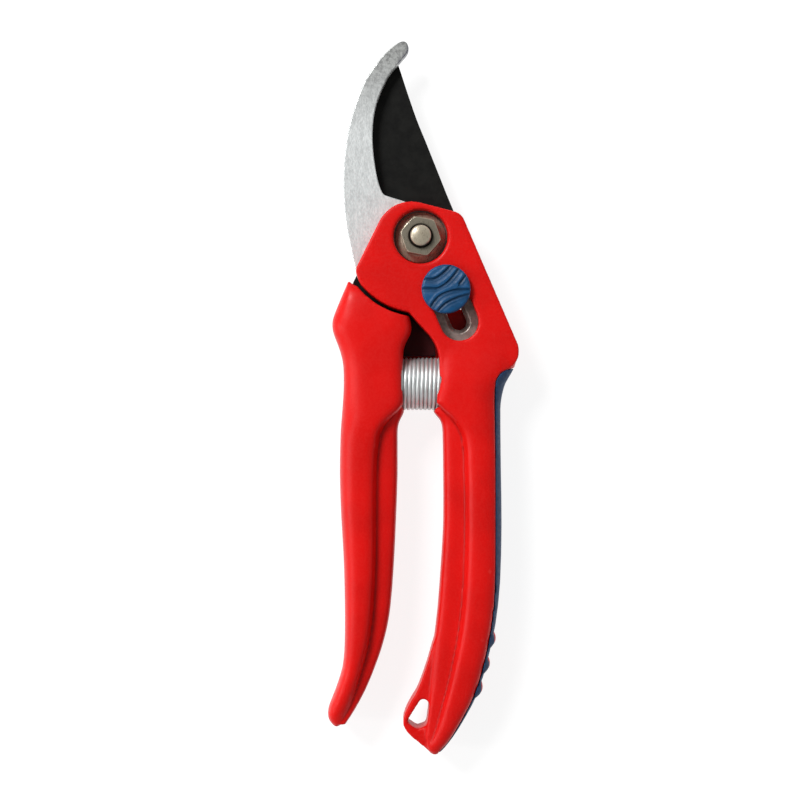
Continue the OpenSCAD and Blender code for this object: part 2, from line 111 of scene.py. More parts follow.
def baked(obj):
    """Puts the object's evaluated mesh in place of its mesh and modifiers."""
    depsgraph = bpy.context.evaluated_depsgraph_get()
    mesh = bpy.data.meshes.new_from_object(obj.evaluated_get(depsgraph))
    old = obj.data
    obj.modifiers.clear()
    obj.data = mesh
    bpy.data.meshes.remove(old)
    return obj


def relaxed(co, edges, weight, passes):
    """Moves each point towards the mean of its neighbours, as far as its weight lets it."""
    n = len(co)
    ends = np.concatenate([edges[:, 0], edges[:, 1]])
    others = np.concatenate([edges[:, 1], edges[:, 0]])
    count = np.maximum(np.bincount(ends, minlength=n), 1)[:, None]
    for _ in range(passes):
        mean = np.stack([np.bincount(ends, co[others, k], n) for k in range(3)], 1) / count
        co = co + weight * (mean - co)
    return co


def sharp_points(bm, angle, step):
    """Points every step along the edges that turn by more than angle."""
    points = []
    for edge in bm.edges:
        if len(edge.link_faces) == 2 and edge.calc_face_angle(0) > angle:
            a, b = (v.co for v in edge.verts)
            count = max(1, math.ceil((b - a).length / step))
            points += [a.lerp(b, k / count) for k in range(count + 1)]
    return points


def moulded(node, name, voxel, passes, reach, crisp=0.06):
    """A smooth skin over a node: its facets melt into curves and its edges get a small round.

    reach is how far from an edge the smoothing is back at full strength."""
    bm = merged_bmesh(node)
    points = sharp_points(bm, math.radians(38), 0.3 * MM)
    tree = KDTree(len(points))
    for i, p in enumerate(points):
        tree.insert(p, i)
    tree.balance()
    mesh = bpy.data.meshes.new(name)
    bm.to_mesh(mesh)
    bm.free()
    obj = add_object(name, mesh)
    remesh = obj.modifiers.new("skin", "REMESH")
    remesh.mode = "VOXEL"
    remesh.voxel_size = voxel
    baked(obj)
    mesh = obj.data
    co = np.empty(len(mesh.vertices) * 3)
    mesh.vertices.foreach_get("co", co)
    co = co.reshape(-1, 3)
    edges = np.empty(len(mesh.edges) * 2, np.int32)
    mesh.edges.foreach_get("vertices", edges)
    edges = edges.reshape(-1, 2)
    away = np.array([tree.find(p)[2] for p in co])
    weight = np.clip((away - reach * 0.25) / (reach * 0.75), crisp, 1)[:, None] * 0.6
    smooth = relaxed(co, edges, weight, passes)
    smooth += relaxed(co - smooth, edges, weight, passes)
    low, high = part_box(node)
    smooth = np.clip(smooth, np.array(low), np.array(high))
    mesh.vertices.foreach_set("co", smooth.ravel())
    mesh.shade_smooth()
    mesh.update()
    return obj


def machined(node, name, width, segments=3, angle=28):
    """A copy of a node with its corners broken by a small bevel."""
    bm = merged_bmesh(node)
    bmesh.ops.dissolve_limit(bm, angle_limit=math.radians(0.4), use_dissolve_boundaries=False,
                             verts=bm.verts, edges=bm.edges)
    mesh = bpy.data.meshes.new(name)
    bm.to_mesh(mesh)
    bm.free()
    obj = add_object(name, mesh)
    bevel = obj.modifiers.new("edges", "BEVEL")
    bevel.width = width
    bevel.segments = segments
    bevel.limit_method = "ANGLE"
    bevel.angle_limit = math.radians(angle)
    bevel.use_clamp_overlap = False
    bevel.miter_outer = "MITER_ARC"
    baked(obj)
    obj.data.shade_smooth()
    obj.data.set_sharp_from_angle(angle=math.radians(40))
    weighted = obj.modifiers.new("flats", "WEIGHTED_NORMAL")
    weighted.keep_sharp = True
    return obj


def domed(obj, rise, rings=5):
    """Rounds the level end of an upright piece, keeping its height."""
    bm = bmesh.new()
    bm.from_mesh(obj.data)
    top = max(v.co.z for v in bm.verts)
    end = [face for face in bm.faces if all(v.co.z > top - 1e-6 for v in face.verts)]
    radius = max(v.co.xy.length for face in end for v in face.verts)
    chamfer = 0.8 * MM
    for v in bm.verts:
        if v.co.z > top - chamfer:
            v.co.z -= rise
    for _ in range(rings):
        bmesh.ops.inset_region(bm, faces=end, thickness=radius / (rings + 1))
    for v in bm.verts:
        away = v.co.xy.length
        if v.co.z > top - rise - 1e-6 and away < radius:
            v.co.z = top - rise * (away / radius) ** 2
    bm.to_mesh(obj.data)
    bm.free()
    return obj


def lathe(profile, steps, centre):
    """Vertices and faces of a closed turned shape. profile holds (radius, height) from the
    axis below, round the outside, to the axis above."""
    verts, faces, rings = [], [], []
    for r, z in profile:
        if r < 1e-7:
            rings.append([len(verts)] * steps)
            verts.append((centre.x, centre.y, z))
        else:
            rings.append([len(verts) + k for k in range(steps)])
            verts += [(centre.x + r * math.cos(2 * math.pi * k / steps),
                       centre.y + r * math.sin(2 * math.pi * k / steps), z) for k in range(steps)]
    for low, high in zip(rings, rings[1:]):
        for k in range(steps):
            m = (k + 1) % steps
            loop = dict.fromkeys((low[k], low[m], high[m], high[k]))
            if len(loop) > 2:
                faces.append(tuple(loop))
    return verts, faces


def skin(name, verts, faces, sharp=40):
    mesh = bpy.data.meshes.new(name)
    mesh.from_pydata([tuple(v) for v in verts], [], faces)
    mesh.validate()
    mesh.shade_smooth()
    mesh.set_sharp_from_angle(angle=math.radians(sharp))
    return add_object(name, mesh)


# ---- materials ----
def linear(colour):
    """Scene-linear value of a colour given as display values from 0 to 255."""
    return tuple(((c / 255 + 0.055) / 1.055) ** 2.4 if c > 10 else c / 255 / 12.92
                 for c in colour)


class Finish:
    """A material built around one Principled shader, in the object's own coordinates."""

    def __init__(self, name, **values):
        self.material = bpy.data.materials.new(name)
        self.material.use_nodes = True
        self.tree = self.material.node_tree
        self.shader = self.tree.nodes["Principled BSDF"]
        for key, value in values.items():
            self.shader.inputs[key.replace("_", " ").title().replace("Ior", "IOR")
                               ].default_value = value
        self.place = self.node("ShaderNodeTexCoord").outputs["Object"]
        self.normal = None

    def node(self, kind, links=None, **settings):
        node = self.tree.nodes.new(kind)
        for key, value in settings.items():
            setattr(node, key, value)
        for key, value in (links or {}).items():
            if isinstance(value, bpy.types.NodeSocket):
                self.tree.links.new(value, node.inputs[key])
            else:
                node.inputs[key].default_value = value
        return node

    def stretched(self, scale, turn=0.0):
        return self.node("ShaderNodeMapping", {
            "Vector": self.place, "Scale": scale, "Rotation": (0, 0, turn)}).outputs[0]

    def noise(self, scale, detail=2.0, rough=0.5, vector=None, distortion=0.0):
        return self.node("ShaderNodeTexNoise", {
            "Vector": vector or self.place, "Scale": scale, "Detail": detail,
            "Roughness": rough, "Distortion": distortion}).outputs["Fac"]

    def remap(self, value, low, high, to_low=0.0, to_high=1.0):
        return self.node("ShaderNodeMapRange", {
            "Value": value, "From Min": low, "From Max": high, "To Min": to_low,
            "To Max": to_high}, interpolation_type="SMOOTHSTEP").outputs[0]

    def math(self, operation, a, b=0.0):
        return self.node("ShaderNodeMath", {0: a, 1: b}, operation=operation).outputs[0]

    def mix(self, factor, a, b, blend="MIX"):
        node = self.node("ShaderNodeMix", data_type="RGBA", blend_type=blend)
        for socket, value in ((node.inputs[0], factor), (node.inputs[6], a),
                              (node.inputs[7], b)):
            if isinstance(value, bpy.types.NodeSocket):
                self.tree.links.new(value, socket)
            elif socket.type == "RGBA":
                socket.default_value = (*value[:3], 1)
            else:
                socket.default_value = value
        return node.outputs[2]

    def near(self, point, inner, outer):
        """1 within inner of an upright line through the point, 0 beyond outer."""
        flat = self.node("ShaderNodeVectorMath", {0: self.place, 1: (1, 1, 0)},
                         operation="MULTIPLY").outputs[0]
        gap = self.node("ShaderNodeVectorMath", {0: flat, 1: (point[0], point[1], 0)},
                        operation="DISTANCE").outputs["Value"]
        return self.remap(gap, inner, outer, 1, 0)

    def part(self, axis):
        """One coordinate of the place on the object."""
        return self.node("ShaderNodeSeparateXYZ", {0: self.place}).outputs[axis]

    def facing_up(self):
        """1 on level faces that look up."""
        normal = self.node("ShaderNodeNewGeometry").outputs["Normal"]
        return self.remap(self.node("ShaderNodeSeparateXYZ", {0: normal}).outputs[2], 0.9, 0.99)

    def stored(self, name):
        """A value that the mesh stores at its points."""
        return self.node("ShaderNodeAttribute", attribute_name=name).outputs["Fac"]

    def edges(self, low, high):
        """1 on convex edges, 0 elsewhere."""
        point = self.node("ShaderNodeNewGeometry").outputs["Pointiness"]
        return self.remap(point, low, high)

    def bump(self, height, strength, distance):
        links = {"Height": height, "Strength": strength, "Distance": distance}
        if self.normal:
            links["Normal"] = self.normal
        self.normal = self.node("ShaderNodeBump", links).outputs[0]
        self.tree.links.new(self.normal, self.shader.inputs["Normal"])

    def set(self, key, socket):
        self.tree.links.new(socket, self.shader.inputs[key])


def red_nylon(look):
    f = Finish("red_nylon", roughness=0.36, specular_ior_level=0.15)
    base = linear(v * 255 for v in look.red)
    deep = tuple(c * 0.88 for c in base)
    worn = (min(1, base[0] * 1.05 + 0.04), base[1] + 0.05, base[2] + 0.042)
    colour = f.mix(f.remap(f.noise(60, 2, 0.5), 0.35, 0.65), deep, base)
    grain = f.remap(f.noise(1800, 2, 0.6), 0.42, 0.6)
    colour = f.mix(f.math("MULTIPLY", grain, 0.07), colour, worn)
    for turn, seed in ((0.5, 0), (-1.1, 3)):
        line = f.noise(1.0 + seed, 2, 0.5, f.stretched((2600, 150, 900), turn))
        patch = f.remap(f.noise(45 + seed, 1), 0.56, 0.66)
        scratch = f.math("MULTIPLY", f.remap(line, 0.7, 0.76), patch)
        colour = f.mix(f.math("MULTIPLY", scratch, 0.3), colour, worn)
    # convex edges turn paler: partly edge wear, partly painted highlight
    edge = f.math("MULTIPLY", f.edges(0.53, 0.6), f.remap(f.noise(420, 3), 0.35, 0.7, 0.3, 1))
    colour = f.mix(f.math("MULTIPLY", edge, 0.4), colour, worn)
    # painted shade: the red goes dark in concave creases and hollows
    crease_shade = f.remap(f.node("ShaderNodeNewGeometry").outputs["Pointiness"], 0.445, 0.499, 0.85, 0)
    colour = f.mix(crease_shade, colour, (base[0] * 0.42, base[1] * 0.2, base[2] * 0.2))
    f.set("Base Color", colour)
    f.set("Roughness", f.remap(f.noise(900, 3), 0.3, 0.7, 0.32, 0.42))
    f.bump(f.noise(3200, 2, 0.6), 0.25, 0.03 * MM)
    seam = f.math("ABSOLUTE", f.math("SUBTRACT", f.part(2), (HANDLE_LOW.z + HANDLE_HIGH.z) / 2))
    f.bump(f.remap(seam, 0.05 * MM, 0.16 * MM, 1, 0), 0.6, 0.06 * MM)
    return f.material


def soft_grip(look):
    f = Finish("soft_grip", roughness=0.66, specular_ior_level=0.25, sheen_weight=0.03,
               sheen_roughness=0.5)
    base = linear(v * 255 for v in look.grip)
    f.set("Base Color", f.mix(f.remap(f.noise(700, 4, 0.6), 0.35, 0.65),
                              tuple(c * 0.85 for c in base), tuple(c * 1.12 for c in base)))
    f.set("Roughness", f.remap(f.noise(900, 3), 0.3, 0.7, 0.56, 0.74))
    f.bump(f.noise(3000, 3, 0.7), 0.45, 0.05 * MM)
    return f.material


def blue_plastic(look):
    """Scuffed plastic, with painted shade down the grooves of the waves and painted highlight on their
    ridges.
    """
    f = Finish("blue_plastic", roughness=0.42, specular_ior_level=0.24)
    base = linear(v * 255 for v in look.button)
    pale = tuple(c * 1.7 + 0.02 for c in base)
    colour = f.mix(f.remap(f.noise(300, 4, 0.6), 0.38, 0.64), base, tuple(c * 1.3 for c in base))
    colour = f.mix(f.math("MULTIPLY", f.edges(0.52, 0.58), 0.5), colour, pale)
    # painted highlight on the raised step beside each groove
    colour = f.mix(f.math("MULTIPLY", f.stored("ridge_highlight"), 0.35), colour, pale)
    scuff = f.remap(f.noise(1.0, 4, 0.6, f.stretched((500, 2200, 700), 0.7)), 0.56, 0.74)
    colour = f.mix(f.math("MULTIPLY", scuff, 0.3), colour, pale)
    # painted shade down in the grooves of the waves
    colour = f.mix(f.math("MULTIPLY", f.stored("groove_shade"), 0.62), colour,
                   tuple(c * 0.3 for c in base))
    f.set("Base Color", colour)
    f.set("Roughness", f.remap(f.noise(1100, 3), 0.3, 0.7, 0.36, 0.52))
    f.bump(f.noise(2400, 2, 0.6), 0.3, 0.04 * MM)
    return f.material


def brushed_steel(name, tone, streaks, rough, stain_and_shade=0.0):
    f = Finish(name, metallic=1.0, roughness=rough)
    fine = f.noise(1.0, 3, 0.7, f.stretched((5200, 1100, 2400)))
    coarse = f.noise(1.0, 3, 0.6, f.stretched((1700, 330, 900)))
    grain = f.math("ADD", f.math("MULTIPLY", fine, 0.65), f.math("MULTIPLY", coarse, 0.35))
    colour = f.mix(f.remap(grain, 0.36, 0.64), tuple(c * (1 - streaks) for c in tone), tone)
    if stain_and_shade:
        cloud = f.remap(f.noise(420, 4, 0.7), 0.45, 0.7)
        colour = f.mix(f.math("MULTIPLY", cloud, stain_and_shade), colour,
                       (tone[0] * 0.6, tone[1] * 0.53, tone[2] * 0.46))
    f.set("Base Color", colour)
    f.set("Roughness", f.remap(grain, 0.35, 0.65, rough - 0.05, rough + 0.08))
    f.bump(fine, 0.2, 0.01 * MM)
    return f


def hook_steel():
    """Brushed on the hook, duller up its tip, with painted dark reflections along its edges and the
    tip's bevel, and painted brownish shade round the pivot and the slot, deep in their recesses.
    """
    f = brushed_steel("brushed_hook_steel", (0.88, 0.91, 0.90), 0.14, 0.36)
    f.shader.inputs["Metallic"].default_value = 0.55
    bright = f.shader.inputs["Base Color"].links[0].from_socket
    tip = HOOK_HIGH.y
    wavy = f.math("ADD", f.part(1), f.math("MULTIPLY", f.noise(260, 3, 0.6), 5 * MM))
    worn = f.remap(wavy, tip - 26 * MM, tip + 2 * MM, 0, 0.95)
    mottled = f.remap(f.noise(900, 3, 0.7), 0.36, 0.62)
    bright = f.mix(worn, bright, f.mix(mottled, (0.17, 0.17, 0.16), (0.44, 0.45, 0.43)))
    speck = f.remap(f.noise(1.0, 2, 0.7, f.stretched((2900, 1250, 2000))), 0.4, 0.6)
    bright = f.mix(f.math("MULTIPLY", speck, 0.2), bright, (0.46, 0.48, 0.48))
    # painted dark reflection along the hook's convex edges
    line = f.math("MULTIPLY", f.edges(0.515, 0.57), 0.75)
    bright = f.mix(line, bright, (0.11, 0.11, 0.13))
    # painted dark reflection of a ground bevel along the inner side of the tip
    bevel_reflection = 0.0
    for x, down in ((-3.0, 1.7), (-3.4, 3.0), (-4.3, 4.4), (-5.5, 5.9)):
        spot = f.near((x * MM, tip - down * MM), 0.5 * MM, 1.1 * MM)
        bevel_reflection = f.math("MAXIMUM", bevel_reflection, spot)
    bright = f.mix(f.math("MULTIPLY", bevel_reflection, 0.7), bright, (0.12, 0.12, 0.15))
    # painted shade: darker, browner steel where the plate lies deep round the lock's slot and the pivot
    button = (BUTTON_LOW + BUTTON_HIGH) / 2
    recess_shade = f.near(button, 8.5 * MM, 9.5 * MM)
    for point in (button + SLIDE, (0, 0)):
        recess_shade = f.math("MAXIMUM", recess_shade, f.near(point, 8.5 * MM, 9.5 * MM))
    cloud = f.remap(f.noise(380, 4, 0.7), 0.35, 0.7)
    stain_and_shade = f.mix(cloud, (0.36, 0.31, 0.28), (0.2, 0.165, 0.145))
    f.set("Base Color", f.mix(recess_shade, bright, stain_and_shade))
    return f.material


def black_coating():
    f = Finish("black_coating", roughness=0.46, specular_ior_level=0.12)
    cloud = f.remap(f.noise(260, 4, 0.6), 0.35, 0.65)
    colour = f.mix(cloud, (0.0035, 0.0035, 0.0032), (0.0068, 0.0068, 0.006))
    # painted highlight along the blade's convex edges
    bright = f.math("MULTIPLY", f.edges(0.56, 0.66), 0.35)
    colour = f.mix(bright, colour, (0.06, 0.06, 0.056))
    # painted light and shade: dark red on the tang above the spring, the handles' red bounce light in
    # the shaded gap there
    above = Vector((0, SPRING_HIGH.y + 4.5 * MM, 0))
    f.set("Base Color", f.mix(f.near(above, 4.6 * MM, 6.5 * MM), colour, (0.034, 0.003, 0.004)))
    f.set("Roughness", f.remap(f.noise(1500, 3, 0.7), 0.3, 0.7, 0.4, 0.56))
    f.bump(f.noise(5200, 2, 0.6), 0.3, 0.02 * MM)
    return f.material


def plated(look):
    """Nickel plate, with painted dark reflection on the nut's level top and a near-black ring round the
    bolt where the thread starts.
    """
    tone = linear(v * 255 for v in look.fasteners)
    f = brushed_steel("nickel_fasteners", tone, 0.08, 0.3, 0.3)
    f.shader.inputs["Metallic"].default_value = 0.55
    plate = f.shader.inputs["Base Color"].links[0].from_socket
    bolt = f.near((0, 0), 2.75 * MM, 2.9 * MM)
    nut = f.math("SUBTRACT", 1.0, bolt)
    ring = f.math("MULTIPLY", nut, f.near((0, 0), 3.2 * MM, 3.75 * MM))
    # painted dark reflection on the nut's level top
    dark_top_reflection = f.math("MULTIPLY", f.math("MULTIPLY", f.facing_up(), nut), 0.72)
    colour = f.mix(dark_top_reflection, plate, tuple(c * 0.32 for c in tone))
    f.set("Base Color", f.mix(f.math("MULTIPLY", ring, 0.93), colour, (0.012, 0.01, 0.009)))
    return f.material


def drawn_wire():
    """Bright wire, a little darker in patches along the coil."""
    f = Finish("spring_wire", metallic=0.7, roughness=0.42)
    f.set("Base Color", f.mix(f.remap(f.noise(300, 2), 0.35, 0.65), (0.60, 0.63, 0.63),
                              (0.70, 0.73, 0.73)))
    f.set("Roughness", f.remap(f.noise(250, 2), 0.3, 0.7, 0.4, 0.48))
    return f.material


def take(obj, material):
    obj.data.materials.clear()
    obj.data.materials.append(material)


# ---- settings ----
class ShearsLook(bpy.types.PropertyGroup):
    """Sizes and colours that can be changed without the frame."""

    red: FloatVectorProperty(name="Handles", description="Colour of the moulded handles",
                             subtype="COLOR_GAMMA", size=3, min=0, max=1, default=(0.805, 0.048, 0.035))
    grip: FloatVectorProperty(name="Soft grip", description="Colour of the soft grip",
                              subtype="COLOR_GAMMA", size=3, min=0, max=1, default=(0.12, 0.225, 0.36))
    button: FloatVectorProperty(name="Button", description="Colour of the lock button",
                                subtype="COLOR_GAMMA", size=3, min=0, max=1,
                                default=(0.035, 0.235, 0.385))
    fasteners: FloatVectorProperty(name="Fasteners", description="Colour of the nut and bolt",
                                   subtype="COLOR_GAMMA", size=3, min=0, max=1,
                                   default=(0.72, 0.68, 0.60))
    skin_detail: FloatProperty(name="Skin detail", description="Size of the handles' mesh",
                               subtype="DISTANCE", unit="LENGTH", default=0.42 * MM,
                               min=0.4 * MM, max=1.5 * MM)
    groove_depth: FloatProperty(name="Groove depth", description="Depth of the button's waves",
                                subtype="DISTANCE", unit="LENGTH", default=0.42 * MM,
                                min=0, max=0.8 * MM)
    thread_pitch: FloatProperty(name="Thread pitch", description="Pitch of the bolt's thread",
                                subtype="DISTANCE", unit="LENGTH", default=1.0 * MM,
                                min=0.5 * MM, max=1.5 * MM)
    wire: FloatProperty(name="Spring wire", description="Diameter of the spring's wire",
                        subtype="DISTANCE", unit="LENGTH", default=1.12 * MM,
                        min=0.9 * MM, max=1.6 * MM)
    spring_length: FloatProperty(name="Spring length", description="Length of the shut spring",
                                 subtype="DISTANCE", unit="LENGTH", default=18.3 * MM,
                                 min=15 * MM, max=22 * MM)
    turns: FloatProperty(name="Turns", description="Turns of the spring", default=14.8,
                         min=8, max=16)
    spring_lean: FloatProperty(name="Spring lean", description="How the spring's axis tilts",
                               subtype="ANGLE", unit="ROTATION", default=math.radians(0))
    key: FloatProperty(name="Key light", description="Power of the main light",
                       unit="POWER", default=22.5, min=0)
    floor_glow: FloatProperty(name="Floor glow", description="How far the floor fills shadows",
                              default=0.86, min=0, max=1)
    ambient: FloatProperty(name="Room light", description="Strength of the light all round",
                           default=0.66, min=0)


# ---- pieces ----
class SHEARS_OT_handles(bpy.types.Operator):
    """Skins both moulded handles and the soft grip"""

    bl_idname = "shears.handles"
    bl_label = "Handles"

    def execute(self, context):
        look = context.scene.shears
        red = red_nylon(look)
        for node, name, body in (("upper_handle", "handle_with_head", "upper"),
                                 ("lower_handle", "handle_lower", "lower")):
            handle = moulded(node, name, look.skin_detail, 40, 1.3 * MM, 0.03)
            take(handle, red)
            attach(handle, body)
            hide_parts(node)
        grip = moulded("grip_pad", "soft_grip_cover", 0.36 * MM, 36, 1.1 * MM, 0.04)
        take(grip, soft_grip(look))
        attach(grip, "upper")
        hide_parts("grip_pad")
        return {"FINISHED"}


class SHEARS_OT_blades(bpy.types.Operator):
    """Makes the hook with its brushed faces and the coated cutting blade"""

    bl_idname = "shears.blades"
    bl_label = "Blades"

    def execute(self, context):
        hook = machined("hook_blade", "hook_plate", 0.28 * MM)
        take(hook, hook_steel())
        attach(hook, "upper")
        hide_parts("hook_blade")
        blade = machined("cutting_blade", "coated_blade", 0.12 * MM, 2)
        take(blade, black_coating())
        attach(blade, "lower")
        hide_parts("cutting_blade")
        return {"FINISHED"}


def winding_tree(name, material, steps, sides, upright=False):
    """Geometry nodes: a wire wound up Z from the origin, steps to a turn and sides round it."""
    tree = bpy.data.node_groups.new(name, "GeometryNodeTree")
    for key in ("Radius", "Wire", "Length", "Turns"):
        tree.interface.new_socket(key, in_out="INPUT", socket_type="NodeSocketFloat")
    tree.interface.new_socket("Geometry", in_out="OUTPUT", socket_type="NodeSocketGeometry")
    new, link = tree.nodes.new, tree.links.new
    inputs, output = new("NodeGroupInput"), new("NodeGroupOutput")
    path = new("GeometryNodeCurveSpiral")
    path.inputs["Resolution"].default_value = steps
    for key, socket in (("Turns", "Rotations"), ("Radius", "Start Radius"),
                        ("Radius", "End Radius"), ("Length", "Height")):
        link(inputs.outputs[key], path.inputs[socket])
    if upright:
        along = new("GeometryNodeSetCurveNormal")
        along.mode = "Z_UP"
        link(path.outputs[0], along.inputs["Curve"])
        path = along
    half = new("ShaderNodeMath")
    half.operation = "MULTIPLY"
    half.inputs[1].default_value = 0.5
    link(inputs.outputs["Wire"], half.inputs[0])
    section = new("GeometryNodeCurvePrimitiveCircle")
    section.inputs["Resolution"].default_value = sides
    link(half.outputs[0], section.inputs["Radius"])
    sweep = new("GeometryNodeCurveToMesh")
    link(path.outputs[0], sweep.inputs["Curve"])
    link(section.outputs["Curve"], sweep.inputs["Profile Curve"])
    sweep.inputs["Fill Caps"].default_value = True
    real = new("GeometryNodeRealizeInstances")
    paint = new("GeometryNodeSetMaterial")
    paint.inputs["Material"].default_value = material
    link(sweep.outputs[0], real.inputs[0])
    link(real.outputs[0], paint.inputs["Geometry"])
    link(paint.outputs[0], output.inputs[0])
    return tree


def grown(name, tree, values):
    """The plain mesh that a tree makes from these inputs."""
    obj = add_object(name, bpy.data.meshes.new(name))
    modifier = obj.modifiers.new("grow", "NODES")
    modifier.node_group = tree
    for item in tree.interface.items_tree:
        if item.item_type == "SOCKET" and item.in_out == "INPUT" and item.name in values:
            modifier[item.identifier] = values[item.name]
    return baked(obj)


class SHEARS_OT_pivot(bpy.types.Operator):
    """Makes the bolt with its thread, the nut and the washer"""

    bl_idname = "shears.pivot"
    bl_label = "Pivot"

    def execute(self, context):
        look = context.scene.shears
        metal = plated(look)
        nut = machined("pivot_nut", "flange_nut", 0.16 * MM, 3, 25)
        take(nut, metal)
        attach(nut, "upper")
        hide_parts("pivot_nut")
        bolt = domed(machined("pivot_bolt", "pivot_bolt_shaft", 0.18 * MM, 3, 25), 0.35 * MM)
        take(bolt, metal)
        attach(bolt, "upper")
        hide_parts("pivot_bolt")
        depth, outer = 0.3 * MM, 3.05 * MM
        length = BOLT_HIGH.z - NUT_HIGH.z - 0.9 * MM
        thread = grown("bolt_thread", winding_tree("wound_ridge", metal, 40, 4, upright=True), {
            "Radius": outer - depth, "Wire": 2 * depth, "Length": length,
            "Turns": length / look.thread_pitch})
        thread.data.transform(Matrix.Translation((0, 0, NUT_HIGH.z + 0.05 * MM)))
        thread.data.shade_smooth()
        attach(thread, "upper")
        take(NODES["pivot_washer"], metal)
        return {"FINISHED"}


# Grooves across the button, in millimetres from its centre
WAVES = (
    ((-6.9, 2.9), (-5.8, 2.75), (-3.5, 2.6), (-1.2, 3.9), (0.4, 5.4), (1.7, 7.0)),
    ((-7.0, 0.05), (-4.4, 0.05), (-2.0, 0.2), (0.8, 2.1), (3.1, 4.9), (4.2, 6.6)),
    ((-5.3, -6.6), (-4.3, -5.1), (-1.9, -2.1), (1.4, -0.6), (4.2, -0.25), (7.2, -0.2)),
    ((3.7, 1.3), (4.7, 2.6), (5.3, 3.6)),
    ((-3.0, -7.0), (-2.3, -6.2), (0.0, -4.0), (2.6, -2.7), (5.0, -1.9), (7.2, -1.5)),
)


def curved(points, steps=10):
    """Smooth curve through the points."""
    p = np.array([points[0], *points, points[-1]], float)
    t = np.linspace(0, 1, steps, endpoint=False)[:, None]
    out = [0.5 * (2 * b + t * (c - a) + t * t * (2 * a - 5 * b + 4 * c - d)
                  + t ** 3 * (3 * b - a - 3 * c + d))
           for a, b, c, d in zip(p, p[1:], p[2:], p[3:])]
    return np.vstack([*out, p[-1:]])


def wave_height(xy, depth):
    """Height of the button's face at points given in millimetres from its centre."""
    height = np.zeros(len(xy))
    for wave in WAVES:
        line = curved(wave)
        a, b = line[:-1], line[1:]
        ab = b - a
        best = np.full(len(xy), 1e9)
        side = np.zeros(len(xy))
        for p, d in zip(a, ab):
            t = np.clip(((xy - p) @ d) / (d @ d), 0, 1)
            gap = xy - p - t[:, None] * d
            dist = np.hypot(gap[:, 0], gap[:, 1])
            nearer = dist < best
            best[nearer] = dist[nearer]
            side[nearer] = np.sign(d[0] * gap[nearer, 1] - d[1] * gap[nearer, 0])
        signed = best * side
        height -= depth * np.exp(-(signed / 0.34) ** 2)
        height -= 0.45 * depth * np.exp(-((signed + 0.75) / 0.6) ** 2)
        height += 0.4 * depth * np.exp(-((signed - 0.7) / 0.4) ** 2)
    return height


class SHEARS_OT_lock(bpy.types.Operator):
    """Makes the lock button with its waves and finishes the lock's steel parts"""

    bl_idname = "shears.lock"
    bl_label = "Lock"

    def execute(self, context):
        look = context.scene.shears
        centre = (BUTTON_LOW + BUTTON_HIGH) / 2
        radius = (BUTTON_HIGH.x - BUTTON_LOW.x) / 2
        bore = (PIN_HIGH.x - PIN_LOW.x) / 2
        top, bottom, under = BUTTON_HIGH.z, BUTTON_LOW.z, HEAD_FACE + 0.1 * MM
        stem, rim = radius * 0.72, 0.75 * MM
        crown = 0.25 * MM
        profile = [(0, PIN_HIGH.z), (bore, PIN_HIGH.z), (bore, bottom), (stem - 0.2 * MM, bottom),
                   (stem, bottom + 0.2 * MM), (stem, under), (radius - 0.25 * MM, under),
                   (radius, under + 0.25 * MM)]
        for k in range(7):
            a = math.radians(15 * k)
            profile.append((radius - rim + rim * math.cos(a), top - crown - rim + rim * math.sin(a)))
        rings = 64
        inner = radius - rim
        for k in range(1, rings + 1):
            r = inner * (1 - k / rings)
            profile.append((r, top - crown + crown * (1 - (r / inner) ** 2)))
        verts, faces = lathe(profile, 180, centre)
        co = np.array(verts)
        face = co[:, 2] > top - crown - rim * 0.5
        height = wave_height((co[face, :2] - [centre.x, centre.y]) / MM, look.groove_depth)
        fade = np.clip((radius - np.hypot(co[face, 0] - centre.x, co[face, 1] - centre.y)
                        + 0.1 * MM) / (0.5 * MM), 0.35, 1)
        co[face, 2] = np.minimum(co[face, 2] + height * fade, top)
        button = skin("lock_button_cap", co, faces, 50)
        # the stored values mark the grooves for painted shade and the ridges for painted highlight
        for attribute, values in (("groove_shade", -height), ("ridge_highlight", height)):
            data = np.zeros(len(co))
            data[face] = np.clip(values / (look.groove_depth or 1), 0, 1)
            button.data.attributes.new(attribute, "FLOAT", "POINT").data.foreach_set("value", data)
        take(button, blue_plastic(look))
        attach(button, "lock")
        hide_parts("lock_button")
        steel = brushed_steel("lock_steel", (0.62, 0.6, 0.57), 0.15, 0.35, 0.3).material
        for node in ("lock_pin", "lock_collar", "lock_wave_washer"):
            take(NODES[node], steel)
        return {"FINISHED"}


class SHEARS_OT_spring(bpy.types.Operator):
    """Winds the handle spring"""

    bl_idname = "shears.spring"
    bl_label = "Spring"

    def execute(self, context):
        look = context.scene.shears
        wire = drawn_wire()
        middle = (SPRING_LOW + SPRING_HIGH) / 2
        outer = SPRING_HIGH.z - SPRING_LOW.z
        length = look.spring_length - look.wire
        spring = grown("coil_spring", winding_tree("coil", wire, 48, 14), {
            "Radius": (outer - look.wire) / 2, "Wire": look.wire, "Length": length,
            "Turns": look.turns})
        along_x = Matrix.Rotation(math.pi / 2, 4, "Y") @ Matrix.Translation((0, 0, -length / 2))
        place = Matrix.Translation(middle) @ Matrix.Rotation(look.spring_lean, 4, "Z") @ along_x
        spring.data.transform(place)
        spring.data.shade_smooth()
        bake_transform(spring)
        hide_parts("handle_spring")
        return {"FINISHED"}


